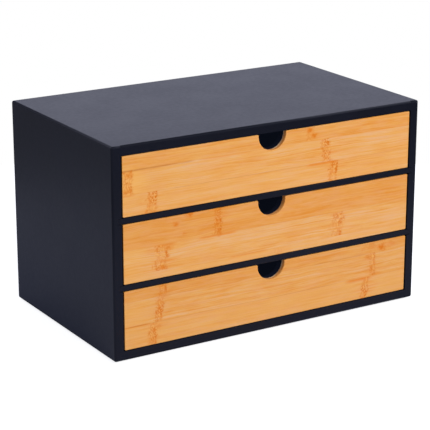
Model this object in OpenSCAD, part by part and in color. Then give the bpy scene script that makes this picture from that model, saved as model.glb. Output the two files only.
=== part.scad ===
// Desktop mini drawers: a painted board case with three drawers behind bamboo faces.
// Millimetres. +X is to the right, +Y towards the back and +Z up. The origin is on the
// surface that the feet stand on, midway across the case's width and depth.

/* [Case] */
// Width over the two side panels
case_w = 330; // [280:5:400]
// Depth from the front edges to the rear edges
case_d = 200; // [170:5:260]
// Height of the case without its feet
case_h = 198; // [180:1:240]
// Thickness of the side, top and bottom panels
board_t = 9; // [8:0.5:12]
// Radius on the case's outer edges
edge_r = 1.5; // [0.8:0.1:2]

/* [Shelves and back] */
// Thickness of the two shelves that carry the drawers
shelf_t = 5.5; // [5:0.5:8]
// Depth of the grooves in the side panels that the shelves slide into
dado_depth = 3; // [2:0.5:4]
// Radius on the shelves' front edges
shelf_edge_r = 0.6; // [0.3:0.1:1]
// Thickness of the back panel, which lies flush in a rabbet
back_t = 3; // [2.5:0.5:4]
// Width by which the back panel laps onto the boards around it
back_lap = 5; // [4:0.5:6]
// Glue clearance round each board end or edge that sits in a groove or rabbet
joint_fit = 0.1; // [0.05:0.05:0.2]

/* [Drawer faces] */
// Thickness of the bamboo faces
face_t = 5; // [4:0.5:8]
// Gap on each side of a face
face_side_gap = 1; // [0.6:0.1:2]
// Gap above a face
face_top_gap = 0.75; // [0.4:0.05:1.5]
// Gap below a face
face_bottom_gap = 0.35; // [0.3:0.05:1]
// Distance that a closed face sits behind the case's front edges
face_inset = 0.5; // [0.2:0.1:1.5]
// Radius on the corners of a face
face_corner_r = 1.2; // [0.5:0.1:2]

/* [Finger notch] */
// Radius of the finger notch
notch_r = 14.75; // [11:0.25:17]
// Depth of the notch's centre below the face's top edge
notch_drop = 1.6; // [1.5:0.1:3]
// Radius where the notch runs out into the top edge
notch_lip_r = 1.2; // [0.5:0.1:1.4]

/* [Drawer boxes] */
// Thickness of the boards round a drawer box
box_t = 6; // [5:0.5:7]
// Gap between a drawer box and each side panel
box_side_gap = 1.5; // [1:0.1:2.5]
// Height by which a drawer box stays below the top edge of its face
box_drop = 5; // [3:0.5:8]
// Radius on the top edges of a drawer box
box_edge_r = 1; // [0.5:0.1:1.5]
// Running clearance under a drawer box
slide_gap = 0.3; // [0.2:0.05:0.4]
// Gap between a closed drawer box and the back panel
rear_gap = 0.6; // [0.4:0.1:1.5]
// Thickness of the drawer bottoms
bottom_t = 3; // [2:0.5:3.5]
// Depth of the grooves that the drawer bottoms slide into
groove_depth = 3; // [2:0.5:3.5]
// Height of the grooves above a drawer box's lower edge
groove_rise = 4; // [3:0.5:6]

/* [Dowels] */
// Diameter of the dowels between the side panels and the top and bottom
dowel_d = 5; // [4:0.5:5]
// Length of a dowel
dowel_l = 20; // [16:1:30]
// Depth of a dowel in the side panel
dowel_in_side = 5.5; // [4:0.5:6]
// Distance of the end dowels from the front and rear edges
dowel_end = 30; // [20:1:40]
// Clearance round a dowel
dowel_fit = 0.05; // [0.03:0.01:0.1]

/* [Face screws] */
// Diameter of the screws that hold a face, which go in from inside the drawer box
screw_d = 3; // [2.5:0.1:3.5]
// Diameter of a screw's countersunk head
screw_head_d = 5.6; // [5:0.1:6.5]
// Depth that a screw reaches into the face
screw_bite = 3.2; // [2.5:0.1:3.4]
// Clearance round a screw
screw_fit = 0.03; // [0.02:0.01:0.05]
// Distance of the screws from the middle of the drawer
screw_aside = 105; // [60:5:120]
// Distance of the upper screws below the box front's top edge
screw_down = 12; // [10:1:14]
// Distance of the lower screws above the box front's lower edge
screw_up = 14; // [13:1:18]

/* [Brads] */
// Diameter of a brad's shank
brad_d = 1.2; // [1:0.1:1.4]
// Diameter of a brad's head
brad_head_d = 2.2; // [1.8:0.1:2.4]
// Thickness of a brad's head
brad_head_t = 0.6; // [0.4:0.1:1]
// Length of the brads that hold the back panel
back_brad_l = 12; // [8:1:16]
// Length of the brads that hold a drawer box together
box_brad_l = 16; // [12:1:22]
// Length of the brads that hold a drawer bottom to its back board
bottom_brad_l = 14; // [10:1:18]
// Clearance round a brad
brad_fit = 0.03; // [0.02:0.01:0.05]
// Distance of a drawer box's upper brads below its top edge
box_brad_down = 9; // [6:1:12]
// Distance of a drawer box's lower brads above its lower edge
box_brad_up = 15; // [13:1:20]
// Distance of the outermost brads in a row from the ends of the row
brad_row_end = 36; // [25:1:50]

/* [Feet] */
// Diameter of a foot pad
foot_d = 12; // [8:1:18]
// Thickness of a foot pad
foot_h = 2; // [1:0.5:4]
// Distance of a foot pad's centre from the case's outer faces
foot_inset = 22; // [16:1:40]
// Radius on the lower edge of a foot pad
foot_edge_r = 0.5; // [0.2:0.1:0.8]

/* [Hidden] */
$fn = 64;
// Drawers from the lowest to the highest, which the node names begin with
LEVELS = ["bottom", "middle", "top"];
BOARDS = ["face", "box_front", "box_back", "left_side", "right_side", "base"];
DRAWER_PIECES = concat(BOARDS, ["brads", "face_screws"]);

// Colours of the finishes
paint = [0.13, 0.14, 0.18];
hardboard = [0.11, 0.115, 0.145];
bamboo = [0.91, 0.66, 0.39];
beech = [0.80, 0.66, 0.47];
steel = [0.62, 0.63, 0.65];
rubber = [0.08, 0.08, 0.09];

// Extra length that a cut runs past the surface it opens
cut = 1;
dowel_count = 3;
// Depth left empty past the end of a dowel, brad or screw
end_gap = 0.4;
// Cylindrical rim of a screw's head, and the cross in it
screw_rim = 0.2;
cross_l = 3;
cross_w = 0.8;
cross_depth = 1;
// Brads in each level and each upright row of the back panel, and under each back board
level_brad_count = 4;
upright_brad_count = 2;
base_brad_count = 3;

drawer_count = len(LEVELS);
case_z = foot_h;
case_top = case_z + case_h;
case_mid_z = case_z + case_h / 2;
front_y = -case_d / 2;
rear_y = case_d / 2;
inner_w = case_w - 2 * board_t;
back_front_y = rear_y - back_t;
bay_h = (case_h - 2 * board_t - (drawer_count - 1) * shelf_t) / drawer_count;

face_w = inner_w - 2 * face_side_gap;
face_h = bay_h - face_top_gap - face_bottom_gap;
face_front_y = front_y + face_inset;
box_front_y = face_front_y + face_t;
box_rear_y = back_front_y - rear_gap;
box_d = box_rear_y - box_front_y;
box_w = inner_w - 2 * box_side_gap;
box_inner_w = box_w - 2 * box_t;
box_h = face_h + face_bottom_gap - box_drop - slide_gap;
groove_h = bottom_t + 2 * joint_fit;
// Height of a drawer bottom's upper surface above its box's lower edge
floor_rise = groove_rise + joint_fit + bottom_t;

// Lower surface of the bay at a level, counted from 0 at the bottom
function bay_z(level) = case_z + board_t + level * (bay_h + shelf_t);
function face_z(level) = bay_z(level) + face_bottom_gap;
function box_z(level) = bay_z(level) + slide_gap;
// Places of count things spread evenly from first to last
function spread(first, last, count) = [for (k = [0:count - 1]) first + k * (last - first) / (count - 1)];

// ---- Outlines ----

// A rectangle centred on the origin, with its four corners rounded
module rounded_rect(w, h, r) {
    square([w - 2 * r, h], center = true);
    square([w, h - 2 * r], center = true);
    for (sx = [-1, 1], sy = [-1, 1])
        translate([sx * (w / 2 - r), sy * (h / 2 - r)]) circle(r);
}

// A rectangle from the origin up and to the right, with its two upper corners rounded
module top_eased_rect(w, h, r) {
    square([w, h - r]);
    translate([r, 0]) square([w - 2 * r, h]);
    for (x = [r, w - r])
        translate([x, h - r]) circle(r);
}

// The finger notch, drawn about the middle of a face's top edge, with its lips
module notch_outline() {
    translate([0, -notch_drop]) circle(notch_r);
    translate([-notch_r, -notch_drop]) square([2 * notch_r, notch_drop + cut]);
    for (side = [-1, 1])
        difference() {
            translate([side * (notch_r + notch_lip_r / 2), (cut - notch_lip_r) / 2])
                square([notch_lip_r, notch_lip_r + cut], center = true);
            translate([side * (notch_r + notch_lip_r), -notch_lip_r]) circle(notch_lip_r);
        }
}

// ---- Shapes shared by the pieces and the holes for them ----

// The whole case as one block, with its outer edges rounded
module eased_block() {
    intersection() {
        translate([0, 0, case_z]) linear_extrude(case_h) rounded_rect(case_w, case_d, edge_r);
        translate([0, rear_y, case_mid_z]) rotate([90, 0, 0])
            linear_extrude(case_d) rounded_rect(case_w, case_h, edge_r);
        translate([-case_w / 2, 0, case_mid_z]) rotate([90, 0, 90])
            linear_extrude(case_w) rounded_rect(case_d, case_h, edge_r);
    }
}

// The back panel, or with grow the pocket that it lies in
module back_board(grow = 0) {
    w = inner_w + 2 * (back_lap - joint_fit + grow);
    h = case_h - 2 * board_t + 2 * (back_lap - joint_fit + grow);
    translate([-w / 2, back_front_y, case_mid_z - h / 2]) cube([w, back_t + (grow > 0 ? cut : 0), h]);
}

// The slot through a side panel for one end of a shelf
module shelf_slot(level) {
    half_w = inner_w / 2 + dado_depth;
    translate([-half_w, front_y - cut, bay_z(level) - shelf_t - joint_fit])
        cube([2 * half_w, case_d - back_t + cut, shelf_t + 2 * joint_fit]);
}

// The dowels of the case, or with fit the holes for them
module dowel_set(fit = 0) {
    for (side = [-1, 1], z = [case_z + board_t / 2, case_top - board_t / 2])
        for (y = spread(front_y + dowel_end, rear_y - dowel_end, dowel_count))
            translate([side * (inner_w / 2 + dowel_in_side - dowel_l / 2), y, z]) rotate([0, 90, 0])
                cylinder(d = dowel_d + 2 * fit, h = dowel_l + (fit > 0 ? 2 * end_gap : 0), center = true);
}

// A brad pointing down from the origin, its head level with it, or with fit the hole for it
module brad(length, fit = 0) {
    shank = length + (fit > 0 ? end_gap : 0);
    translate([0, 0, -shank]) cylinder(d = brad_d + 2 * fit, h = shank - brad_head_t / 2);
    translate([0, 0, -brad_head_t - fit])
        cylinder(d = brad_head_d + 2 * fit, h = brad_head_t + fit + (fit > 0 ? cut : 0));
}

// The brads round the edge of the back panel
module back_brad_set(fit = 0) {
    row_x = inner_w / 2 + back_lap / 2;
    row_z = case_h / 2 - board_t + back_lap / 2;
    for (side = [-1, 1]) {
        for (x = spread(brad_row_end - case_w / 2, case_w / 2 - brad_row_end, level_brad_count))
            translate([x, rear_y, case_mid_z + side * row_z]) rotate([-90, 0, 0]) brad(back_brad_l, fit);
        for (z = spread(brad_row_end - case_h / 2, case_h / 2 - brad_row_end, upright_brad_count))
            translate([side * row_x, rear_y, case_mid_z + z]) rotate([-90, 0, 0]) brad(back_brad_l, fit);
    }
}

// The brads of one drawer box: through its sides at the four corners, and up into its back board
module box_brad_set(level, fit = 0) {
    z0 = box_z(level);
    for (side = [-1, 1], y = [box_front_y + box_t / 2, box_rear_y - box_t / 2])
        for (z = [z0 + box_brad_up, z0 + box_h - box_brad_down])
            translate([side * box_w / 2, y, z]) rotate([0, side * 90, 0]) brad(box_brad_l, fit);
    row_end = box_inner_w / 2 - brad_row_end;
    for (x = spread(-row_end, row_end, base_brad_count))
        translate([x, box_rear_y - box_t / 2, z0 + groove_rise + joint_fit]) rotate([180, 0, 0])
            brad(bottom_brad_l, fit);
}

// A screw pointing down from the origin, its flat head level with it, or with fit the hole for it
module face_screw(fit = 0) {
    shank = box_t + screw_bite + (fit > 0 ? end_gap : 0);
    cone = (screw_head_d - screw_d) / 2;
    translate([0, 0, -shank]) cylinder(d = screw_d + 2 * fit, h = shank - screw_rim);
    translate([0, 0, -screw_rim - cone])
        cylinder(d1 = screw_d + 2 * fit, d2 = screw_head_d + 2 * fit, h = cone);
    translate([0, 0, -screw_rim])
        cylinder(d = screw_head_d + 2 * fit, h = screw_rim + (fit > 0 ? cut : 0));
}

// The places of one drawer's face screws, on the inner side of its box front
module at_face_screws(level) {
    for (side = [-1, 1], z = [screw_up, box_h - screw_down])
        translate([side * screw_aside, box_front_y + box_t, box_z(level) + z]) rotate([-90, 0, 0]) children();
}

// The groove round a drawer box that its bottom slides into, open at the rear
module base_groove(level) {
    half_w = box_inner_w / 2 + groove_depth;
    y0 = box_front_y + box_t - groove_depth;
    translate([-half_w, y0, box_z(level) + groove_rise])
        cube([2 * half_w, box_rear_y - y0 + cut, groove_h]);
}

// ---- Pieces of the case ----

// The holes and grooves that the boards round the case are cut with
module case_cuts() {
    back_board(grow = joint_fit);
    dowel_set(fit = dowel_fit);
    back_brad_set(fit = brad_fit);
    for (level = [1:drawer_count - 1]) shelf_slot(level);
}

module side_panel(side) {
    color(paint) difference() {
        intersection() {
            eased_block();
            translate([side * (inner_w + case_w) / 4 + side * cut / 2, 0, case_mid_z])
                cube([board_t + cut, case_d + 2 * cut, case_h + 2 * cut], center = true);
        }
        case_cuts();
    }
}

// The top panel where side is 1, and the bottom panel where it is -1
module level_panel(side) {
    color(paint) difference() {
        intersection() {
            eased_block();
            translate([0, 0, case_mid_z + side * (case_h - board_t + cut) / 2])
                cube([inner_w, case_d + 2 * cut, board_t + cut], center = true);
        }
        case_cuts();
    }
}

// The shelf under the drawer at a level, with its two front edges eased
module shelf(level) {
    w = inner_w + 2 * (dado_depth - joint_fit);
    color(paint) translate([-w / 2, back_front_y, bay_z(level) - shelf_t]) rotate([90, 0, 90])
        linear_extrude(w) rotate(90) top_eased_rect(shelf_t, case_d - back_t, shelf_edge_r);
}

module back_panel() {
    color(hardboard) difference() {
        back_board();
        back_brad_set(fit = brad_fit);
    }
}

module case_dowels() {
    color(beech) dowel_set();
}

module back_brads() {
    color(steel) back_brad_set();
}

// Four stick-on pads under the corners
module foot_pads() {
    color(rubber) for (sx = [-1, 1], sy = [-1, 1])
        translate([sx * (case_w / 2 - foot_inset), sy * (case_d / 2 - foot_inset), 0])
            rotate_extrude() difference() {
                square([foot_d / 2, foot_h]);
                translate([foot_d / 2 - foot_edge_r, 0]) difference() {
                    square(foot_edge_r);
                    translate([0, foot_edge_r]) circle(foot_edge_r);
                }
            }
}

// ---- Pieces of a drawer ----

// The bamboo face with its rounded corners and finger notch
module drawer_face(level) {
    color(bamboo) difference() {
        translate([0, box_front_y, face_z(level)]) rotate([90, 0, 0])
            linear_extrude(face_t) difference() {
                translate([0, face_h / 2]) rounded_rect(face_w, face_h, face_corner_r);
                translate([0, face_h]) notch_outline();
            }
        at_face_screws(level) face_screw(screw_fit);
    }
}

// The board behind the face, cut through by the same notch and grooved for the bottom
module box_front(level) {
    color(paint) difference() {
        translate([-box_inner_w / 2, box_front_y, box_z(level)]) rotate([90, 0, 90])
            linear_extrude(box_inner_w) top_eased_rect(box_t, box_h, box_edge_r);
        translate([0, box_front_y + box_t + cut, face_z(level) + face_h]) rotate([90, 0, 0])
            linear_extrude(box_t + 2 * cut) notch_outline();
        base_groove(level);
        box_brad_set(level, brad_fit);
        at_face_screws(level) face_screw(screw_fit);
    }
}

// The back board, which stands on the drawer bottom
module box_back(level) {
    color(paint) difference() {
        translate([-box_inner_w / 2, box_rear_y - box_t, box_z(level) + floor_rise]) rotate([90, 0, 90])
            linear_extrude(box_inner_w) top_eased_rect(box_t, box_h - floor_rise, box_edge_r);
        box_brad_set(level, brad_fit);
    }
}

module drawer_side(level, side) {
    color(paint) difference() {
        translate([side > 0 ? box_inner_w / 2 : -box_w / 2, box_rear_y, box_z(level)]) rotate([90, 0, 0])
            linear_extrude(box_d) top_eased_rect(box_t, box_h, box_edge_r);
        base_groove(level);
        box_brad_set(level, brad_fit);
    }
}

// The bottom, held in the groove on three sides and under the back board on the fourth
module drawer_base(level) {
    half_w = box_inner_w / 2 + groove_depth - joint_fit;
    y0 = box_front_y + box_t - groove_depth + joint_fit;
    color(hardboard) difference() {
        translate([-half_w, y0, box_z(level) + groove_rise + joint_fit])
            cube([2 * half_w, box_rear_y - y0, bottom_t]);
        box_brad_set(level, brad_fit);
    }
}

module drawer_brads(level) {
    color(steel) box_brad_set(level);
}

module face_screws(level) {
    color(steel) at_face_screws(level) difference() {
        face_screw();
        for (turn = [0, 90])
            rotate(turn) cube([cross_l, cross_w, 2 * cross_depth], center = true);
    }
}

side_panel(-1);  // left_panel
side_panel(1);  // right_panel
level_panel(1);  // top_panel
level_panel(-1);  // bottom_panel
shelf(1);  // lower_shelf
shelf(2);  // upper_shelf
back_panel();
case_dowels();
back_brads();
foot_pads();
for (level = [0:drawer_count - 1]) {
    drawer = str(LEVELS[level], "_drawer_");
    drawer_face(level);
    box_front(level);
    box_back(level);
    drawer_side(level, -1);
    drawer_side(level, 1);
    drawer_base(level);
    drawer_brads(level);
    face_screws(level);
}
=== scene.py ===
# Desktop mini drawers: a painted case and three drawers behind bamboo faces
import math

import bmesh
import bpy
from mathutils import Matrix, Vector


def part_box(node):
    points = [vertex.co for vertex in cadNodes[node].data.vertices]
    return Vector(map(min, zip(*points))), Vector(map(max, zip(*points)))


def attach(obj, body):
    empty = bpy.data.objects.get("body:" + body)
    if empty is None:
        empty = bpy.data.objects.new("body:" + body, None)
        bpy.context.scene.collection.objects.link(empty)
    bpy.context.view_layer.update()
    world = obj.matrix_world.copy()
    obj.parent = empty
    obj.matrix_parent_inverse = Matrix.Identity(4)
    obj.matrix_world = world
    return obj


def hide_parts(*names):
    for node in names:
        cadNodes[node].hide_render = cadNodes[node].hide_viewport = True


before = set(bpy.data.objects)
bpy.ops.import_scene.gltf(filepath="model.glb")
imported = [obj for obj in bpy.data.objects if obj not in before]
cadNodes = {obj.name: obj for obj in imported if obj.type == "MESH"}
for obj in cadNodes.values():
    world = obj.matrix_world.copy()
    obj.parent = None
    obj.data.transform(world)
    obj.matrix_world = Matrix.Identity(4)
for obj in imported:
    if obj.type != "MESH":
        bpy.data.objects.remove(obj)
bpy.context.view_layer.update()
scene = bpy.context.scene
scene.view_settings.view_transform = "Standard"
mm = 0.001
inMillimetres = (1000, 1000, 1000)
print("frame loaded with", len(cadNodes), "nodes")


def makeLinear(value):
    share = value / 255
    return ((share + 0.055) / 1.055) ** 2.4 if value > 10 else share / 12.92


def screenColour(red, green, blue):
    # a colour as it reads on a screen, from 0 to 255
    return (makeLinear(red), makeLinear(green), makeLinear(blue), 1.0)


def feed(tree, socket, value):
    if isinstance(value, bpy.types.NodeSocket):
        tree.links.new(value, socket)
    else:
        socket.default_value = value


def addNode(tree, kind, inputs=None, **settings):
    made = tree.nodes.new(kind)
    for name, value in settings.items():
        setattr(made, name, value)
    for key, value in (inputs or {}).items():
        feed(tree, made.inputs[key], value)
    return made


def calc(tree, operation, first, second=0.0, clamp=False):
    made = addNode(tree, "ShaderNodeMath", {0: first, 1: second}, operation=operation)
    made.use_clamp = clamp
    return made.outputs[0]


def calcVector(tree, operation, first, second=(0, 0, 0)):
    return addNode(tree, "ShaderNodeVectorMath", {0: first, 1: second}, operation=operation).outputs


def joined(tree, x=0.0, y=0.0, z=0.0):
    return addNode(tree, "ShaderNodeCombineXYZ", {"X": x, "Y": y, "Z": z}).outputs[0]


def parted(tree, vector):
    return addNode(tree, "ShaderNodeSeparateXYZ", {0: vector}).outputs


def fade(tree, value, low, high, toLow=0.0, toHigh=1.0):
    # smooth change from toLow at low to toHigh at high, where low may be the larger
    inputs = {"Value": value, "From Min": low, "From Max": high, "To Min": toLow, "To Max": toHigh}
    made = addNode(tree, "ShaderNodeMapRange", inputs, interpolation_type="SMOOTHSTEP")
    return made.outputs["Result"]


def mapped(tree, vector, scale, shift=(0, 0, 0)):
    inputs = {"Vector": vector, "Scale": scale, "Location": shift}
    return addNode(tree, "ShaderNodeMapping", inputs).outputs["Vector"]


def noise(tree, vector, scale, detail=2.0, roughness=0.5):
    # scale is one number, or one for each axis
    if not isinstance(scale, (int, float)):
        vector, scale = mapped(tree, vector, scale), 1.0
    inputs = {"Vector": vector, "Scale": scale, "Detail": detail, "Roughness": roughness}
    return addNode(tree, "ShaderNodeTexNoise", inputs).outputs[0]


def mixColours(tree, amount, first, second):
    made = addNode(tree, "ShaderNodeMix", data_type="RGBA")
    for key, value in ((0, amount), (6, first), (7, second)):
        feed(tree, made.inputs[key], value)
    return made.outputs[2]


def newGroup(name, inputs, outputs):
    group = bpy.data.node_groups.new(name, "ShaderNodeTree")
    for label, kind, value in inputs:
        socket = group.interface.new_socket(name=label, in_out="INPUT", socket_type="NodeSocket" + kind)
        if value is not None:
            socket.default_value = value
    for label in outputs:
        group.interface.new_socket(name=label, in_out="OUTPUT", socket_type="NodeSocketFloat")
    return group, group.nodes.new("NodeGroupInput").outputs, group.nodes.new("NodeGroupOutput").inputs


def newMaterial(name):
    material = bpy.data.materials.new(name)
    material.use_nodes = True
    tree = material.node_tree
    shader = tree.nodes["Principled BSDF"]
    place = addNode(tree, "ShaderNodeTexCoord").outputs["Object"]
    return material, tree, shader, place


def useGroup(tree, group, **inputs):
    made = addNode(tree, "ShaderNodeGroup", node_tree=group)
    for name, value in inputs.items():
        feed(tree, made.inputs[name], value)
    return made.outputs


def finishShader(tree, shader, colour, rough, height, depth, gloss=0.5, metallic=0.0):
    # depth is the real height in metres that a height of 1 stands for
    feed(tree, shader.inputs["Base Color"], colour)
    feed(tree, shader.inputs["Roughness"], rough)
    bump = addNode(tree, "ShaderNodeBump", {"Strength": 1.0, "Distance": depth, "Height": height})
    feed(tree, shader.inputs["Normal"], bump.outputs["Normal"])
    shader.inputs["Specular IOR Level"].default_value = gloss
    shader.inputs["Metallic"].default_value = metallic


def makePaintSkin():
    # sprayed and rolled paint: fine stipple, a slow mottle, and a nib of dust here and there
    inputs = [("Vector", "Vector", None), ("Stipple", "Float", 1.0)]
    skin, given, made = newGroup("paintSkin", inputs, ["Mottle", "Sheen", "Height"])
    place = given["Vector"]
    cloud = noise(skin, place, 26.0, 3.0, 0.55)
    drift = noise(skin, place, 7.0, 2.0)
    stipple = noise(skin, place, 900.0, 2.0)
    ripple = noise(skin, place, 240.0, 2.0)
    grains = addNode(skin, "ShaderNodeTexVoronoi", {"Vector": place, "Scale": 95.0}).outputs["Distance"]
    nib = fade(skin, grains, 0.06, 0.0)
    mottle = calc(skin, "ADD", calc(skin, "MULTIPLY", cloud, 0.6), calc(skin, "MULTIPLY", drift, 0.4))
    feed(skin, made["Mottle"], mottle)
    sheen = calc(skin, "ADD", calc(skin, "MULTIPLY", cloud, 0.5), calc(skin, "MULTIPLY", ripple, 0.5))
    feed(skin, made["Sheen"], sheen)
    rough = calc(skin, "MULTIPLY", calc(skin, "ADD", stipple, ripple), given["Stipple"])
    feed(skin, made["Height"], calc(skin, "ADD", rough, calc(skin, "MULTIPLY", nib, 0.8)))
    return skin


def makeBambooFibre():
    # fibres along X in millimetres: broad bands, streaks, and thin dark vessels
    inputs = [("Vector", "Vector", None), ("Strip", "Float", 0.0)]
    outputs = ["Cloud", "Blush", "Band", "Streak", "Thread", "Vein", "Vessel", "Height"]
    fibre, given, made = newGroup("bambooFibre", inputs, outputs)
    # each strip takes its fibres from a place of its own
    aside = joined(fibre, calc(fibre, "MULTIPLY", given["Strip"], 433.0), given["Strip"],
                   calc(fibre, "MULTIPLY", given["Strip"], 61.0))
    place = calcVector(fibre, "ADD", given["Vector"], aside)[0]
    # slow waves carry the fibres up and down a little
    wave = calc(fibre, "SUBTRACT", noise(fibre, place, (0.02, 0.04, 0.08), 2.0), 0.5)
    lift = joined(fibre, z=calc(fibre, "MULTIPLY", wave, 4.5))
    place = calcVector(fibre, "ADD", place, lift)[0]
    cloud = noise(fibre, place, (0.03, 0.09, 0.09), 3.0, 0.6)
    blush = noise(fibre, place, (0.05, 0.4, 0.4), 3.0, 0.6)
    band = noise(fibre, place, (0.006, 0.17, 0.17), 2.0)
    streak = noise(fibre, place, (0.008, 0.62, 0.62), 1.5, 0.5)
    thread = noise(fibre, place, (0.019, 1.15, 1.15), 2.5, 0.62)
    vein = noise(fibre, place, (0.005, 0.8, 0.8), 1.0, 0.5)
    fine = noise(fibre, place, (0.03, 4.0, 4.0), 2.0, 0.6)
    feed(fibre, made["Cloud"], fade(fibre, cloud, 0.3, 0.7))
    feed(fibre, made["Blush"], fade(fibre, blush, 0.4, 0.7))
    feed(fibre, made["Band"], fade(fibre, band, 0.32, 0.68))
    feed(fibre, made["Streak"], fade(fibre, streak, 0.3, 0.7))
    feed(fibre, made["Thread"], fade(fibre, thread, 0.32, 0.68))
    feed(fibre, made["Vein"], fade(fibre, vein, 0.58, 0.72))
    feed(fibre, made["Vessel"], fade(fibre, fine, 0.55, 0.72))
    raised = calc(fibre, "MULTIPLY", thread, 0.6)
    feed(fibre, made["Height"], calc(fibre, "SUBTRACT", raised, calc(fibre, "MULTIPLY", fine, 0.8)))
    return fibre


def makeKnuckle():
    # the mark where a bamboo cane's joint crosses one strip, between the strip's upper and lower seams
    inputs = [("Vector", "Vector", None), ("Place", "Float", 0.0), ("Upper", "Float", 0.0),
              ("Lower", "Float", 20.0), ("Width", "Float", 9.0), ("Lean", "Float", 0.0),
              ("Strength", "Float", 1.0), ("Seed", "Float", 0.0)]
    knuckle, given, made = newGroup("knuckle", inputs, ["Dark", "Pale", "Stain"])
    parts = parted(knuckle, given["Vector"])
    along, across = parts["X"], parts["Z"]
    # the mark stops at both seams
    fromUpper = calc(knuckle, "SUBTRACT", across, given["Upper"])
    fromLower = calc(knuckle, "SUBTRACT", given["Lower"], across)
    gate = calc(knuckle, "MULTIPLY", fade(knuckle, fromUpper, -0.1, 0.3),
                fade(knuckle, fromLower, -0.1, 0.3))
    gate = calc(knuckle, "MULTIPLY", gate, given["Strength"])
    seeded = joined(knuckle, along, given["Seed"], across)
    # the mark wanders a little to the left and right down the strip
    wander = calc(knuckle, "SUBTRACT", noise(knuckle, seeded, (0.0, 1.0, 0.12), 4.0, 0.7), 0.5)
    share = calc(knuckle, "DIVIDE", fromUpper, calc(knuckle, "SUBTRACT", given["Lower"], given["Upper"]))
    lean = calc(knuckle, "MULTIPLY", calc(knuckle, "SUBTRACT", share, 0.5), given["Lean"])
    off = calc(knuckle, "SUBTRACT", calc(knuckle, "SUBTRACT", along, given["Place"]), lean)
    off = calc(knuckle, "DIVIDE", off, given["Width"])
    off = calc(knuckle, "SUBTRACT", off, calc(knuckle, "MULTIPLY", wander, 0.8))
    ragged = calc(knuckle, "SUBTRACT", noise(knuckle, seeded, (0.16, 1.0, 0.3), 3.0, 0.65), 0.5)
    reach = calc(knuckle, "ADD", calc(knuckle, "ABSOLUTE", off), calc(knuckle, "MULTIPLY", ragged, 2.0))
    body = fade(knuckle, reach, 0.75, 0.25)
    cells = noise(knuckle, seeded, (0.4, 1.0, 0.24), 1.5, 0.5)
    rims = calc(knuckle, "ABSOLUTE", calc(knuckle, "SUBTRACT", cells, 0.5))
    scribble = fade(knuckle, rims, 0.075, 0.0)
    lumps = fade(knuckle, noise(knuckle, seeded, (0.5, 1.0, 0.5), 2.0, 0.6), 0.58, 0.72)
    # ridges run down both edges, the right one wider and warmer
    right = fade(knuckle, calc(knuckle, "ABSOLUTE", calc(knuckle, "SUBTRACT", off, 0.4)), 0.26, 0.0)
    left = fade(knuckle, calc(knuckle, "ABSOLUTE", calc(knuckle, "ADD", off, 0.42)), 0.16, 0.0)
    breaks = fade(knuckle, noise(knuckle, seeded, (0.3, 1.0, 0.5), 2.0), 0.42, 0.58)
    patch = fade(knuckle, noise(knuckle, seeded, (0.11, 1.0, 0.11), 1.0), 0.36, 0.56, 0.35, 1.0)
    ridge = calc(knuckle, "MAXIMUM", right, calc(knuckle, "MULTIPLY", left, 0.5))
    ridge = calc(knuckle, "MULTIPLY", ridge, breaks)
    inside = calc(knuckle, "MULTIPLY", calc(knuckle, "MAXIMUM", scribble, lumps), 0.8)
    inside = calc(knuckle, "MULTIPLY", body, inside)
    dark = calc(knuckle, "MULTIPLY", calc(knuckle, "MAXIMUM", ridge, inside), patch)
    feed(knuckle, made["Dark"], calc(knuckle, "MULTIPLY", dark, gate))
    pale = calc(knuckle, "MULTIPLY", body, fade(knuckle, cells, 0.44, 0.34))
    feed(knuckle, made["Pale"], calc(knuckle, "MULTIPLY", pale, gate))
    # a warm stain fills the mark and trails off along the fibres
    far = calc(knuckle, "ABSOLUTE", calc(knuckle, "SUBTRACT", off, 0.3))
    trail = calc(knuckle, "MULTIPLY", fade(knuckle, far, 2.6, 0.4),
                 fade(knuckle, noise(knuckle, seeded, (0.03, 1.0, 0.35), 2.0), 0.5, 0.72))
    cloud = fade(knuckle, noise(knuckle, seeded, (0.16, 1.0, 0.14), 3.0, 0.6), 0.42, 0.66)
    filled = calc(knuckle, "ADD", calc(knuckle, "MULTIPLY", cloud, 0.75), 0.1)
    filled = calc(knuckle, "MULTIPLY", body, filled)
    stain = calc(knuckle, "MAXIMUM", filled, calc(knuckle, "MULTIPLY", trail, 0.8))
    feed(knuckle, made["Stain"], calc(knuckle, "MULTIPLY", stain, gate))
    return knuckle


paintSkin = makePaintSkin()
bambooFibre = makeBambooFibre()
knuckleMark = makeKnuckle()
print("shared effects made")


paintLook = {"body": (6, 9, 21), "bodyWorn": (9, 12, 25), "roughness": 0.38, "gloss": 0.23}
# the inside coat is lighter and duller than the outside one: a thinner coat, and partly painted light that
# lifts the drawers' shaded insides
innerPaintLook = {"body": (14, 17, 29), "bodyWorn": (18, 21, 34), "roughness": 0.5, "gloss": 0.2,
                  "paintedGlow": (8, 11, 19)}


def makePaint(name, look):
    material, tree, shader, place = newMaterial(name)
    skin = useGroup(tree, paintSkin, Vector=place, Stipple=1.0)
    mottle = fade(tree, skin["Mottle"], 0.35, 0.65)
    colour = mixColours(tree, mottle, screenColour(*look["body"]), screenColour(*look["bodyWorn"]))
    rough = fade(tree, skin["Sheen"], 0.3, 0.7, look["roughness"] - 0.025, look["roughness"] + 0.025)
    finishShader(tree, shader, colour, rough, skin["Height"], 0.03 * mm, look["gloss"])
    return material


def addPaintedGlow(material, look):
    # painted glow: a trace of emitted light stands in for the light that finds its way into a closed
    # drawer, and keeps its inside blue-black instead of black
    shader = material.node_tree.nodes["Principled BSDF"]
    shader.inputs["Emission Color"].default_value = screenColour(*look["paintedGlow"])
    shader.inputs["Emission Strength"].default_value = 1.0


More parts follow.
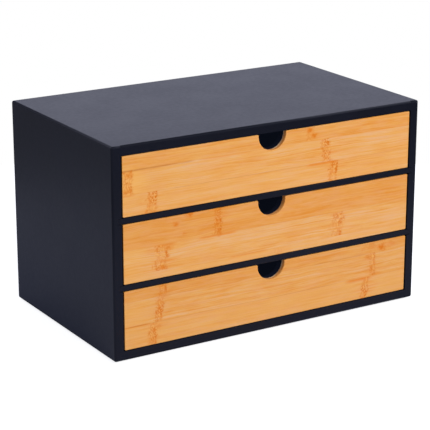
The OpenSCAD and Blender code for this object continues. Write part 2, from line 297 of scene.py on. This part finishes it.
bambooLook = {
    "shades": {
        "milk": (238, 186, 130), "pale": (240, 178, 98), "orange": (232, 147, 48),
        "blush": (238, 173, 118), "vessel": (210, 124, 46), "glue": (196, 110, 22),
        "dark": (222, 119, 0), "fleck": (248, 186, 96), "stain": (234, 129, 0),
    },
    "faintSeam": (-50, 400, 0.4, 0.15),  # on every seam: start, end, width, strength
    "lastStripEnd": 60.0, "roughness": 0.46, "gloss": 0.3,
}

# Places are millimetres from the case's left side, and down from the face's upper edge.
# cane picks the fibres, shade makes the lower boards a little darker, painted shade that evens out the
# floor's bounce light, and paleBack how much of the notch's wall is paler towards the back.
# strips: (tone, streaks), from the upper strip down, with the seams between them.
# knuckles, the joint marks of the cane: (place, strip, width, lean, strength)
# glueLines and stains, which run along a seam: (seam, start, end, width, strength)
# knots, small oval stains, and paintedHighlights, lighter patches of painted highlight: (place, down, size,
# strength)
facePlans = {
    "top": {
        "cane": 0.0, "shade": 1.0, "paleBack": 0.9,
        "seams": (13.5, 35.8), "strips": ((0.3, 0.8), (0.12, 0.92), (0.15, 0.7)),
        "knuckles": ((207, 0, 8, 0, 0.4), (16, 1, 8, 0, 0.7), (224, 1, 8, 3, 0.9), (39, 2, 9, -3, 0.9),
                     (233, 2, 8, -1, 1.0)),
        "glueLines": ((0, -20, 80, 1.5, 0.85), (1, 60, 205, 0.6, 0.4), (1, 250, 340, 0.6, 0.3)),
        "stains": ((1, 204, 237, 2.2, 1.0), (1, 5, 22, 1.6, 0.7), (0, 90, 140, 1.6, 0.4)),
        "knots": ((206, 3, 5, 0.9), (211, 9, 5, 0.9), (16, 18, 6, 0.7), (13, 33, 6, 0.7)),
        "paintedHighlights": ((13, 24, 20, 0.6),),
    },
    "middle": {
        "cane": 5.4, "shade": 0.985, "paleBack": 0.15,
        "seams": (24.7, 48.2), "strips": ((0.44, 0.58), (0.13, 1.05), (0.02, 0.5)),
        "knuckles": ((107, 0, 7, 0, 0.8), (48.5, 1, 11, -3, 1.0), (238.5, 1, 11, -2, 0.8),
                     (173, 2, 8, 0, 0.35)),
        "glueLines": ((0, 100, 330, 0.6, 0.2), (1, 100, 170, 0.6, 0.25)),
        "stains": ((0, 44, 62, 2.4, 0.9), (0, 88, 125, 1.8, 0.8), (1, 120, 160, 1.6, 0.6)),
        "knots": ((64, 8, 5, 0.8), (77, 0.5, 6, 1.0), (72, 18, 5, 0.35), (110, 24, 6, 0.5),
                  (56, 28, 6, 0.6)),
        "paintedHighlights": ((14, 34, 22, 0.25),),
    },
    "bottom": {
        "cane": 11.7, "shade": 0.965, "paleBack": 0.7,
        "seams": (10.7, 34.1), "strips": ((0.4, 0.66), (0.2, 1.02), (0.13, 0.48)),
        "knuckles": ((50, 0, 7, 0, 0.7), (293, 0, 7, 0, 0.3), (46, 1, 7, -3, 0.9), (281, 1, 6, 1, 0.8),
                     (38.5, 2, 8, -2, 0.7), (272, 2, 7, -3, 0.9)),
        "glueLines": ((1, -20, 36, 0.9, 0.7), (1, 36, 240, 0.7, 0.4), (0, 40, 110, 0.6, 0.35),
                      (0, 215, 275, 0.8, 0.5)),
        "stains": ((1, 252, 280, 3.0, 1.0), (1, 4, 36, 1.4, 0.7), (0, 44, 56, 2.2, 0.6)),
        "knots": ((292, 7, 7, 1.0), (303, 4, 11, 0.3), (278, 3, 14, 0.35), (50, 3, 5, 0.6),
                  (276, 14, 6, 0.5), (45, 38, 6, 0.4)),
        "paintedHighlights": ((16, 24, 20, 0.3),),
    },
}


def makeBamboo(level, plan, look, caseLeft, faceTop):
    material, tree, shader, place = newMaterial(level + "Bamboo")
    # millimetres from the case's left side, and down from the upper edge
    plane = mapped(tree, place, (1000, 1000, -1000), (-caseLeft * 1000, 0, faceTop * 1000))
    parts = parted(tree, plane)
    along, across = parts["X"], parts["Z"]
    wear = fade(tree, noise(tree, plane, (0.05, 1, 0.8), 2.0), 0.3, 0.6, 0.35, 1.0)  # breaks up the glue
    edges = (0.0, *plan["seams"], look["lastStripEnd"])
    # each board's colours are scaled by its shade, painted shade on the lower boards that evens out the
    # floor's bounce light
    shades = {}
    for name, shade in look["shades"].items():
        shades[name] = screenColour(*(plan["shade"] * c for c in shade))

    def distanceTo(spot, down, stretch=0.7, squash=1.0):
        # how far from a spot, measured shorter along the fibres
        centred = mapped(tree, plane, (stretch, 0.0, squash), (-stretch * spot, 0.0, -squash * down))
        return calcVector(tree, "LENGTH", centred)["Value"]

    def alongSeam(seam, start, end, width, strength):
        # a soft line on a seam, faded out at both ends
        reach = calc(tree, "MULTIPLY", fade(tree, along, start - 5, start + 5),
                     fade(tree, along, end + 5, end - 5))
        off = calc(tree, "ABSOLUTE", calc(tree, "SUBTRACT", across, edges[seam + 1] + width / 3))
        line = calc(tree, "MULTIPLY", reach, fade(tree, off, width, 0.0))
        return calc(tree, "MULTIPLY", line, strength)

    glue, stain, dark, pale, bend = 0.0, 0.0, 0.0, 0.0, 0.0
    strip = plan["cane"]
    tone, streaks = plan["strips"][0]
    for number, seam in enumerate(plan["seams"]):
        # below each seam the next strip begins, with its own fibres, tone and streaks
        below = fade(tree, across, seam - 0.12, seam + 0.12)
        strip = calc(tree, "ADD", below, strip)
        before, after = plan["strips"][number:number + 2]
        tone = calc(tree, "ADD", calc(tree, "MULTIPLY", below, after[0] - before[0]), tone)
        streaks = calc(tree, "ADD", calc(tree, "MULTIPLY", below, after[1] - before[1]), streaks)
        glue = calc(tree, "MAXIMUM", glue, alongSeam(number, *look["faintSeam"]))
    for line in plan["glueLines"]:
        glue = calc(tree, "MAXIMUM", glue, alongSeam(*line))
    glue = calc(tree, "MULTIPLY", glue, wear)
    for line in plan["stains"]:
        stain = calc(tree, "MAXIMUM", stain, alongSeam(*line))
    for spot, down, size, strength in plan["knots"]:
        # an oval stain, longer along the fibres, with a broken rim
        length = distanceTo(spot, down)
        rim = calc(tree, "SUBTRACT", noise(tree, plane, (0.2, 1.0, 0.35), 3.0, 0.65), 0.5)
        length = calc(tree, "ADD", length, calc(tree, "MULTIPLY", rim, size * 1.6))
        knot = calc(tree, "MULTIPLY", fade(tree, length, size * 0.75, size * 0.1), strength)
        stain = calc(tree, "MAXIMUM", stain, knot)
        heart = calc(tree, "MULTIPLY", fade(tree, length, size * 0.4, 0.0), 0.55 * strength)
        dark = calc(tree, "MAXIMUM", dark, heart)
        # fibres part above and below it
        push = fade(tree, distanceTo(spot, down, 0.25, 0.5), size, 0.0, 0.0, 0.35 * size * strength)
        side = calc(tree, "SUBTRACT", fade(tree, across, down - size, down + size), 0.5)
        push = calc(tree, "MULTIPLY", push, side)
        bend = calc(tree, "SUBTRACT", bend, push)
    bent = calcVector(tree, "ADD", plane, joined(tree, z=bend))[0]
    fibre = useGroup(tree, bambooFibre, Vector=bent, Strip=strip)
    grain = 0.0
    for part, share in (("Cloud", 0.3), ("Band", 0.23), ("Streak", 0.2), ("Thread", 0.5), ("Vein", 0.25)):
        grain = calc(tree, "ADD", calc(tree, "MULTIPLY", fibre[part], share), grain)
    # 0 is milky, 0.35 the plain pale straw and 1 orange
    warmth = calc(tree, "ADD", calc(tree, "MULTIPLY", calc(tree, "SUBTRACT", grain, 0.65), streaks), 0.3)
    warmth = calc(tree, "ADD", warmth, tone)
    colour = mixColours(tree, fade(tree, warmth, 0.0, 0.4), shades["milk"], shades["pale"])
    colour = mixColours(tree, fade(tree, warmth, 0.25, 1.1), colour, shades["orange"])
    colour = mixColours(tree, calc(tree, "MULTIPLY", fibre["Blush"], 0.4), colour, shades["blush"])
    colour = mixColours(tree, calc(tree, "MULTIPLY", fibre["Vessel"], 0.3), colour, shades["vessel"])
    # painted highlight: each patch lightens the board towards the fleck colour near its left end
    for spot, down, size, strength in plan["paintedHighlights"]:
        glow = fade(tree, distanceTo(spot, down), size, size * 0.3, 0.0, strength)
        colour = mixColours(tree, glow, colour, shades["fleck"])
    for number, (spot, which, width, lean, strength) in enumerate(plan["knuckles"]):
        mark = useGroup(tree, knuckleMark, Vector=plane, Place=spot, Upper=edges[which],
                        Lower=edges[which + 1], Width=width, Lean=lean, Strength=strength,
                        Seed=spot * 1.37 + number * 11.0)
        dark = calc(tree, "MAXIMUM", mark["Dark"], dark)
        pale = calc(tree, "MAXIMUM", mark["Pale"], pale)
        stain = calc(tree, "MAXIMUM", mark["Stain"], stain)
    colour = mixColours(tree, calc(tree, "MULTIPLY", stain, 0.7, clamp=True), colour, shades["stain"])
    colour = mixColours(tree, calc(tree, "MULTIPLY", glue, 0.8), colour, shades["glue"])
    colour = mixColours(tree, calc(tree, "MULTIPLY", pale, 0.6), colour, shades["fleck"])
    colour = mixColours(tree, calc(tree, "MULTIPLY", dark, 1.35, clamp=True), colour, shades["dark"])
    rough = fade(tree, fibre["Streak"], 0.0, 1.0, look["roughness"] - 0.04, look["roughness"] + 0.05)
    sunk = calc(tree, "MULTIPLY", calc(tree, "ADD", dark, glue), 0.4)
    height = calc(tree, "SUBTRACT", fibre["Height"], sunk)
    finishShader(tree, shader, colour, rough, height, 0.03 * mm, look["gloss"])
    return material


cutLook = {"light": (250, 184, 106), "dark": (224, 128, 44), "paleBack": (252, 226, 186), "paleBackDepth": 3.2,
           "roughness": 0.62, "gloss": 0.2}
# the end grain is darker than the sawn wall of the notch, and darkened further as painted shade for the
# narrow gap beside the case
endGrainAndShadeLook = {"light": (176, 110, 50), "dark": (110, 64, 26), "paleBack": (196, 138, 80), "paleBackDepth": 3.2,
           "paleBackShare": 0.4, "roughness": 0.62, "gloss": 0.2}


def makeBambooCut(name, look, faceFront, paleBackShare):
    # sawn and sanded across the fibres, and paler towards the back in places
    material, tree, shader, place = newMaterial(name)
    plane = mapped(tree, place, inMillimetres)
    layer = noise(tree, plane, (0.05, 1.6, 0.05), 2.0)
    pores = noise(tree, plane, (1.2, 2.4, 2.4), 2.0, 0.6)
    amount = calc(tree, "ADD", calc(tree, "MULTIPLY", layer, 0.6), calc(tree, "MULTIPLY", pores, 0.5))
    colour = mixColours(tree, fade(tree, amount, 0.35, 0.75), screenColour(*look["light"]),
                        screenColour(*look["dark"]))
    behind = calc(tree, "SUBTRACT", parted(tree, plane)["Y"], faceFront / mm)
    paleBack = fade(tree, behind, look["paleBackDepth"] - 0.3, look["paleBackDepth"] + 0.3)
    patches = fade(tree, noise(tree, plane, 0.11), 0.35, 0.55, 0.3 * paleBackShare, paleBackShare)
    paleBack = calc(tree, "MULTIPLY", paleBack, patches)
    colour = mixColours(tree, paleBack, colour, screenColour(*look["paleBack"]))
    rough = fade(tree, pores, 0.3, 0.7, look["roughness"] - 0.05, look["roughness"] + 0.08)
    finishShader(tree, shader, colour, rough, pores, 0.05 * mm, look["gloss"])
    return material


def makeHardboard(look):
    # the same paint over hardboard, whose outer side keeps the print of the press's wire screen
    material, tree, shader, place = newMaterial("paintedHardboard")
    skin = useGroup(tree, paintSkin, Vector=place, Stipple=1.4)
    screenRate = 2200.0  # radians to the metre, so one wave of the screen is 2.9 mm
    parts = parted(tree, place)
    facing = parted(tree, addNode(tree, "ShaderNodeNewGeometry").outputs["True Normal"])
    upAndBack = calc(tree, "ADD", parts["Z"], parts["Y"])
    warp = calc(tree, "SINE", calc(tree, "MULTIPLY", parts["X"], screenRate))
    weft = calc(tree, "SINE", calc(tree, "MULTIPLY", upAndBack, screenRate))
    outer = calc(tree, "MAXIMUM", fade(tree, facing["Y"], 0.5, 0.9), fade(tree, facing["Z"], -0.5, -0.9))
    mesh = calc(tree, "MULTIPLY", calc(tree, "MULTIPLY", warp, weft), outer)
    height = calc(tree, "ADD", skin["Height"], calc(tree, "MULTIPLY", mesh, 1.2))
    mottle = fade(tree, skin["Mottle"], 0.35, 0.65)
    colour = mixColours(tree, mottle, screenColour(*look["body"]), screenColour(*look["bodyWorn"]))
    rough = fade(tree, skin["Sheen"], 0.3, 0.7, look["roughness"], look["roughness"] + 0.12)
    finishShader(tree, shader, colour, rough, height, 0.05 * mm, look["gloss"])
    return material


beechLook = {"light": (222, 188, 142), "dark": (196, 154, 106), "roughness": 0.6, "gloss": 0.3}


def makeBeech(look):
    material, tree, shader, place = newMaterial("beech")
    plane = mapped(tree, place, inMillimetres)
    grain = noise(tree, plane, (0.08, 1.2, 1.2), 3.0, 0.6)
    rays = noise(tree, plane, (0.4, 3.0, 3.0), 1.0)
    colour = mixColours(tree, fade(tree, grain, 0.3, 0.7), screenColour(*look["light"]),
                        screenColour(*look["dark"]))
    rough = fade(tree, rays, 0.3, 0.7, look["roughness"] - 0.05, look["roughness"] + 0.05)
    finishShader(tree, shader, colour, rough, grain, 0.08 * mm, look["gloss"])
    return material


steelLook = {"bright": (196, 198, 204), "dull": (158, 160, 166), "roughness": 0.3}


def makeSteel(look):
    # bright zinc plating with a faint drawn grain and dull spots
    material, tree, shader, place = newMaterial("zincSteel")
    plane = mapped(tree, place, inMillimetres)
    spots = noise(tree, plane, 1.6, 3.0, 0.6)
    drawn = noise(tree, plane, (9.0, 1.0, 9.0), 2.0)
    colour = mixColours(tree, fade(tree, spots, 0.35, 0.7), screenColour(*look["bright"]),
                        screenColour(*look["dull"]))
    rough = fade(tree, spots, 0.3, 0.7, look["roughness"] - 0.06, look["roughness"] + 0.14)
    finishShader(tree, shader, colour, rough, drawn, 0.01 * mm, metallic=1.0)
    return material


rubberLook = {"body": (26, 26, 27), "bloom": (40, 40, 42), "roughness": 0.75, "gloss": 0.3}


def makeRubber(look):
    material, tree, shader, place = newMaterial("rubber")
    plane = mapped(tree, place, inMillimetres)
    bloom = noise(tree, plane, 0.35, 3.0, 0.6)
    grit = noise(tree, plane, 4.0, 2.0, 0.6)
    colour = mixColours(tree, fade(tree, bloom, 0.35, 0.7), screenColour(*look["body"]),
                        screenColour(*look["bloom"]))
    rough = fade(tree, grit, 0.3, 0.7, look["roughness"] - 0.08, look["roughness"] + 0.1)
    finishShader(tree, shader, colour, rough, grit, 0.08 * mm, look["gloss"])
    return material


paintedBoard = makePaint("paintedBoard", paintLook)
innerPaint = makePaint("innerPaint", innerPaintLook)
paintedHardboard = makeHardboard(innerPaintLook)
# the inside coat and the painted hardboard, the back panel's too, get the painted glow
addPaintedGlow(innerPaint, innerPaintLook)
addPaintedGlow(paintedHardboard, innerPaintLook)
beech = makeBeech(beechLook)
zincSteel = makeSteel(steelLook)
rubber = makeRubber(rubberLook)
print("finishes made")


near = 1e-5  # metres: closer than this counts as the same place


def flatSheet(bm, low, high, axis, lines):
    # a flat sheet across an axis at low's place, from corner low to corner high, scored along the lines
    other = [a for a in range(3) if a != axis]
    corners = [(low[other[0]], low[other[1]]), (high[other[0]], low[other[1]]),
               (high[other[0]], high[other[1]]), (low[other[0]], high[other[1]])]
    verts = []
    for first, second in corners:
        place = Vector(low)
        place[other[0]], place[other[1]] = first, second
        verts.append(bm.verts.new(place))
    bm.faces.new(verts)
    for across, values in lines.items():
        for value in values:
            point, normal = Vector(), Vector()
            point[across], normal[across] = value, 1.0
            bmesh.ops.bisect_plane(bm, geom=bm.verts[:] + bm.edges[:] + bm.faces[:], plane_co=point,
                                   plane_no=normal)


def pull(bm, faces, shift):
    made = bmesh.ops.extrude_face_region(bm, geom=faces)["geom"]
    bmesh.ops.translate(bm, vec=shift, verts=[g for g in made if isinstance(g, bmesh.types.BMVert)])
    return [g for g in made if isinstance(g, bmesh.types.BMFace)]


def tidyFaces(bm):
    bmesh.ops.remove_doubles(bm, verts=bm.verts[:], dist=1e-6)
    bmesh.ops.dissolve_limit(bm, angle_limit=0.01, verts=bm.verts[:], edges=bm.edges[:])
    bmesh.ops.recalc_face_normals(bm, faces=bm.faces[:])


def roundEdges(bm, edges, radius, steps):
    bmesh.ops.bevel(bm, geom=edges, offset=radius, offset_type="OFFSET", segments=steps, profile=0.5,
                    affect="EDGES", clamp_overlap=True, material=-1)


def sidesOf(edge, box):
    # how many of the box's six sides the whole edge lies in
    count = 0
    for axis in range(3):
        for side in box:
            count += all(abs(v.co[axis] - side[axis]) < near for v in edge.verts)
    return count


def makePiece(name, bm, materials, body, nodes):
    # flat sides that face along an axis stay flat, and the rounded edges between them are smooth
    for face in bm.faces:
        face.smooth = max(abs(c) for c in face.normal) < 0.9999
    mesh = bpy.data.meshes.new(name)
    bm.to_mesh(mesh)
    bm.free()
    for material in materials:
        mesh.materials.append(material)
    piece = bpy.data.objects.new(name, mesh)
    scene.collection.objects.link(piece)
    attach(piece, body)
    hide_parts(*nodes)
    return piece


casePlan = {"edgeRadius": 1.9 * mm, "edgeSteps": 5, "shelfEdge": 0.6 * mm, "shelfSteps": 4,
            "rabbetDepth": 3 * mm, "rabbetWidth": 5 * mm, "rabbetArris": 0.4 * mm, "arrisSteps": 3,
            "dadoDepth": 3 * mm, "dadoFit": 0.1 * mm}

rightLow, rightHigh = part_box("right_panel")
caseBox = (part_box("left_panel")[0], rightHigh)
innerHalf = rightLow.x
shelfBoxes = [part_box("lower_shelf"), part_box("upper_shelf")]
# the rabbet for the back panel reaches into the bottom panel and into the top panel
rabbetSpan = (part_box("bottom_panel")[1].z - casePlan["rabbetWidth"],
              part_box("top_panel")[0].z + casePlan["rabbetWidth"])


def roundCaseEdges(bm):
    edges = [e for e in bm.edges if sidesOf(e, caseBox) == 2]
    roundEdges(bm, edges, casePlan["edgeRadius"], casePlan["edgeSteps"])


def easeRabbet(bm, rear, axis, value):
    # the small arris round the back panel, along the edge where the rabbet meets the board's rear
    def onRabbet(vert):
        return abs(vert.co.y - rear) < near and abs(vert.co[axis] - value) < near

    edges = [e for e in bm.edges if all(onRabbet(v) for v in e.verts)]
    roundEdges(bm, edges, casePlan["rabbetArris"], casePlan["arrisSteps"])


def makeSidePanel(name, side):
    # its front edge with a slot for each shelf, pulled back, the last part beside the back panel only
    low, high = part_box(name)
    inner = side * innerHalf
    slotEnd = inner + side * casePlan["dadoDepth"]
    rabbetEnd = inner + side * casePlan["rabbetWidth"]
    slots = [(s[0].z - casePlan["dadoFit"], s[1].z + casePlan["dadoFit"]) for s in shelfBoxes]
    lines = {0: (slotEnd, rabbetEnd), 2: rabbetSpan + slots[0] + slots[1]}
    bm = bmesh.new()
    flatSheet(bm, low, high, 1, lines)
    cut = []
    for face in bm.faces:
        middle = face.calc_center_median()
        inSlot = any(z0 < middle.z < z1 for z0, z1 in slots)
        if inSlot and side * middle.x < side * slotEnd:
            cut.append(face)
    bmesh.ops.delete(bm, geom=cut, context="FACES")
    ends = pull(bm, bm.faces[:], (0, high.y - casePlan["rabbetDepth"] - low.y, 0))
    rim = []
    for face in ends:
        middle = face.calc_center_median()
        if side * middle.x > side * rabbetEnd or not rabbetSpan[0] < middle.z < rabbetSpan[1]:
            rim.append(face)
    pull(bm, rim, (0, casePlan["rabbetDepth"], 0))
    tidyFaces(bm)
    roundCaseEdges(bm)
    easeRabbet(bm, high.y, 0, rabbetEnd)
    return makePiece(name + "Board", bm, [paintedBoard], "case", [name])


def makeLevelPanel(name, side):
    # its end with the rabbet cut away, pulled across from one side panel to the other
    low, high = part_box(name)
    rabbetZ = rabbetSpan[1] if side > 0 else rabbetSpan[0]
    rabbetY = high.y - casePlan["rabbetDepth"]
    bm = bmesh.new()
    flatSheet(bm, low, high, 0, {1: (rabbetY,), 2: (rabbetZ,)})
    cut = [f for f in bm.faces if f.calc_center_median().y > rabbetY
           and side * f.calc_center_median().z < side * rabbetZ]
    bmesh.ops.delete(bm, geom=cut, context="FACES")
    pull(bm, bm.faces[:], (high.x - low.x, 0, 0))
    tidyFaces(bm)
    roundCaseEdges(bm)
    easeRabbet(bm, high.y, 2, rabbetZ)
    return makePiece(name + "Board", bm, [paintedBoard], "case", [name])


def makeShelf(name):
    low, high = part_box(name)
    bm = bmesh.new()
    flatSheet(bm, low, high, 0, {})
    pull(bm, bm.faces[:], (high.x - low.x, 0, 0))
    tidyFaces(bm)
    front = [e for e in bm.edges if all(abs(v.co.y - low.y) < near for v in e.verts)
             and abs(e.verts[0].co.z - e.verts[1].co.z) < near]
    roundEdges(bm, front, casePlan["shelfEdge"], casePlan["shelfSteps"])
    return makePiece(name + "Board", bm, [paintedBoard], "case", [name])


makeSidePanel("left_panel", -1)
makeSidePanel("right_panel", 1)
makeLevelPanel("top_panel", 1)
makeLevelPanel("bottom_panel", -1)
makeShelf("lower_shelf")
makeShelf("upper_shelf")
print("case boards made")


facePlan = {"cornerRadius": 1.2 * mm, "cornerSteps": 6, "leftGap": 0.4 * mm,
            "notchRadius": 14.75 * mm, "notchDrop": 1.6 * mm, "notchSteps": 56,
            "lipRadius": 1.2 * mm, "lipSteps": 6,
            "frontArris": 0.45 * mm, "rearArris": 0.2 * mm, "arrisSteps": 3}


def spinOn(bm, vert, centre, degrees, steps):
    made = bmesh.ops.spin(bm, geom=[vert], cent=centre, axis=(0, 1, 0), angle=math.radians(degrees),
                          steps=steps, use_duplicate=False)
    return [g for g in made["geom_last"] if isinstance(g, bmesh.types.BMVert)][0]


def makeFace(level, plan):
    node = level + "_drawer_face"
    low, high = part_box(node)
    low.x += plan["leftGap"]  # the gap beside the left side panel is the wider one
    y = low.y
    corner, lip = plan["cornerRadius"], plan["lipRadius"]
    notchRadius, notchZ = plan["notchRadius"], high.z - plan["notchDrop"]
    bm = bmesh.new()
    # the outline from the left of the notch, down round it, and on round the board
    start = bm.verts.new((-notchRadius - lip, y, high.z))
    at = spinOn(bm, start, (-notchRadius - lip, y, high.z - lip), 90, plan["lipSteps"])

    def lineTo(x, z):
        nonlocal at
        made = bm.verts.new((x, y, z))
        bm.edges.new((at, made))
        at = made

    lineTo(-notchRadius, notchZ)
    at = spinOn(bm, at, (0, y, notchZ), -180, plan["notchSteps"])
    lineTo(notchRadius, high.z - lip)
    at = spinOn(bm, at, (notchRadius + lip, y, high.z - lip), 90, plan["lipSteps"])
    # each corner, and which way its arc starts from it
    corners = ((high.x, high.z, -1, 0), (high.x, low.z, 0, 1), (low.x, low.z, 1, 0), (low.x, high.z, 0, -1))
    for x, z, toX, toZ in corners:
        sideX, sideZ = math.copysign(1, x), (1 if z == high.z else -1)
        lineTo(x + toX * corner, z + toZ * corner)
        at = spinOn(bm, at, (x - sideX * corner, y, z - sideZ * corner), 90, plan["cornerSteps"])
    bm.edges.new((at, start))
    bmesh.ops.contextual_create(bm, geom=bm.edges[:])
    pull(bm, bm.faces[:], (0, high.y - low.y, 0))
    bmesh.ops.recalc_face_normals(bm, faces=bm.faces[:])
    for arris, edgeY in ((plan["frontArris"], low.y), (plan["rearArris"], high.y)):
        rim = [e for e in bm.edges if all(abs(v.co.y - edgeY) < near for v in e.verts)]
        roundEdges(bm, rim, arris, plan["arrisSteps"])
    margin = 0.3 * mm
    for face in bm.faces:
        # material 1 is the sawn wall of the notch, and 2 the end grain, whose darker colour is partly
        # painted shade
        middle = face.calc_center_median()
        inNotch = Vector((middle.x, 0, middle.z - notchZ)).length < notchRadius + margin
        if inNotch and abs(face.normal.y) < 0.3:
            face.material_index = 1
        elif abs(face.normal.x) > 0.9 and not inNotch:
            face.material_index = 2
    materials = [makeBamboo(level, facePlans[level], bambooLook, caseBox[0].x, high.z),
                 makeBambooCut(level + "BambooCut", cutLook, low.y, facePlans[level]["paleBack"]),
                 makeBambooCut(level + "BambooEnd", endGrainAndShadeLook, low.y, endGrainAndShadeLook["paleBackShare"])]
    return makePiece(level + "BambooFace", bm, materials, level + "_drawer", [node])


for level in facePlans:
    makeFace(level, facePlan)
print("drawer faces made")


padPlan = {"radius": 6 * mm, "sides": 48, "edge": 0.5 * mm, "edgeSteps": 4,
           "rim": 1.2 * mm, "slope": 0.4 * mm, "hollow": 0.3 * mm}


def makeFootPads(plan):
    low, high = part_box("foot_pads")
    bm = bmesh.new()
    for x in (low.x + plan["radius"], high.x - plan["radius"]):
        for y in (low.y + plan["radius"], high.y - plan["radius"]):
            disc = bmesh.ops.create_circle(bm, cap_ends=True, radius=plan["radius"],
                                           segments=plan["sides"])["verts"]
            bmesh.ops.translate(bm, vec=(x, y, high.z), verts=disc)
            sole = pull(bm, [f for f in bm.faces if disc[0] in f.verts], (0, 0, low.z - high.z))[0]
            roundEdges(bm, list(sole.edges), plan["edge"], plan["edgeSteps"])
            # the sole is slightly hollow inside a flat rim
            centre = Vector((x, y))
            caps = [f for f in bm.faces if (f.calc_center_median().xy - centre).length < near]
            sole = min(caps, key=lambda f: f.calc_center_median().z)
            bmesh.ops.inset_individual(bm, faces=[sole], thickness=plan["rim"])
            bmesh.ops.inset_individual(bm, faces=[sole], thickness=plan["slope"])
            bmesh.ops.translate(bm, vec=(0, 0, plan["hollow"]), verts=sole.verts[:])
    bmesh.ops.recalc_face_normals(bm, faces=bm.faces[:])
    return makePiece("footPads", bm, [rubber], "case", ["foot_pads"])


makeFootPads(padPlan)
print("foot pads made")


# finishes of the boards and fixings that keep their own shape, by the ending of their names
finishOf = {
    "back_panel": paintedHardboard, "base": paintedHardboard, "case_dowels": beech, "brads": zincSteel,
    "face_screws": zincSteel, "box_front": innerPaint, "box_back": innerPaint, "side": innerPaint,
}
for name, node in cadNodes.items():
    for ending, material in finishOf.items():
        if name.endswith(ending):
            node.data.materials.clear()
            node.data.materials.append(material)
print("kept boards and fixings finished")


floorPlan = {"radius": 0.55, "sides": 96, "colour": (198, 200, 208), "glow": 0.84,
             "mirrored": (0.055, 0.07, 0.155)}


def makeFloor(plan):
    bm = bmesh.new()
    bmesh.ops.create_circle(bm, cap_ends=True, radius=plan["radius"], segments=plan["sides"])
    mesh = bpy.data.meshes.new("floor")
    bm.to_mesh(mesh)
    bm.free()
    floor = bpy.data.objects.new("floor", mesh)
    scene.collection.objects.link(floor)
    material = bpy.data.materials.new("whiteFloor")
    material.use_nodes = True
    tree = material.node_tree
    tree.nodes.clear()
    path = addNode(tree, "ShaderNodeLightPath").outputs
    mirrored = calc(tree, "MAXIMUM", path["Is Glossy Ray"], path["Is Transmission Ray"])
    glow = mixColours(tree, mirrored, (0, 0, 0, 1), (*plan["mirrored"], 1.0))
    glow = mixColours(tree, path["Is Camera Ray"], glow, (plan["glow"],) * 3 + (1.0,))
    light = addNode(tree, "ShaderNodeEmission", {"Color": glow, "Strength": 1.0}).outputs[0]
    lit = addNode(tree, "ShaderNodeBsdfDiffuse", {"Color": screenColour(*plan["colour"])}).outputs[0]
    both = addNode(tree, "ShaderNodeAddShader", {0: light, 1: lit}).outputs[0]
    addNode(tree, "ShaderNodeOutputMaterial", {"Surface": both})
    mesh.materials.append(material)


worldPlan = {"lit": (0.5, 0.51, 0.58), "mirrored": (0.87, 0.9, 1.14), "overhead": 0.6, "ground": 0.215,
             "seen": 1.0}


def makeWorld(plan):
    world = bpy.data.worlds.new("softStudio")
    scene.world = world
    world.use_nodes = True
    tree = world.node_tree
    tree.nodes.clear()
    path = addNode(tree, "ShaderNodeLightPath").outputs
    ray = addNode(tree, "ShaderNodeTexCoord").outputs["Generated"]
    height = parted(tree, ray)["Z"]
    mirrored = calc(tree, "MAXIMUM", path["Is Glossy Ray"], path["Is Transmission Ray"])
    overhead = calc(tree, "MULTIPLY", mirrored, fade(tree, height, 0.5, 0.9))
    colour = mixColours(tree, mirrored, (*plan["lit"], 1.0), (*plan["mirrored"], 1.0))
    colour = mixColours(tree, overhead, colour, (*(plan["overhead"] * c for c in plan["mirrored"]), 1.0))
    # dimmer below the horizon
    share = fade(tree, height, -0.06, 0.02, plan["ground"], 1.0)
    dimmed = addNode(tree, "ShaderNodeVectorMath", {0: colour, "Scale": share}, operation="SCALE")
    colour = mixColours(tree, path["Is Camera Ray"], dimmed.outputs[0], (plan["seen"],) * 3 + (1.0,))
    background = addNode(tree, "ShaderNodeBackground", {"Color": colour, "Strength": 1.0}).outputs[0]
    addNode(tree, "ShaderNodeOutputWorld", {"Surface": background})


lampPlans = {
    "keyLamp": {"place": (0.7, -2.3, 1.75), "aim": (0, 0, 0.1), "size": 1.4, "power": 56,
                "colour": (1.0, 0.96, 0.9)},
}


def makeLamps(plans):
    for name, plan in plans.items():
        data = bpy.data.lights.new(name, "AREA")
        data.shape = "DISK"
        data.size = plan["size"]
        data.energy = plan["power"]
        data.color = plan["colour"]
        lamp = bpy.data.objects.new(name, data)
        scene.collection.objects.link(lamp)
        lamp.location = plan["place"]
        lamp.rotation_euler = (Vector(plan["aim"]) - lamp.location).to_track_quat("-Z", "Y").to_euler()
        lamp.visible_glossy = False  # the paint's sheen comes from the room alone


cameraPlan = {"azimuth": -31.45, "elevation": 17.35, "distance": 1.561, "target": (-0.0612, -0.1, 0.1227),
              "lens": 145.84, "sensor": 36.0}


def makeCamera(plan):
    turn, rise = math.radians(plan["azimuth"]), math.radians(plan["elevation"])
    back = Vector((math.sin(turn) * math.cos(rise), -math.cos(turn) * math.cos(rise), math.sin(rise)))
    data = bpy.data.cameras.new("camera")
    data.lens, data.sensor_width = plan["lens"], plan["sensor"]
    camera = bpy.data.objects.new("camera", data)
    scene.collection.objects.link(camera)
    camera.location = Vector(plan["target"]) + back * plan["distance"]
    camera.rotation_euler = (-back).to_track_quat("-Z", "Y").to_euler()
    scene.camera = camera


makeFloor(floorPlan)
makeWorld(worldPlan)
makeLamps(lampPlans)
makeCamera(cameraPlan)
print("floor, light and camera made")
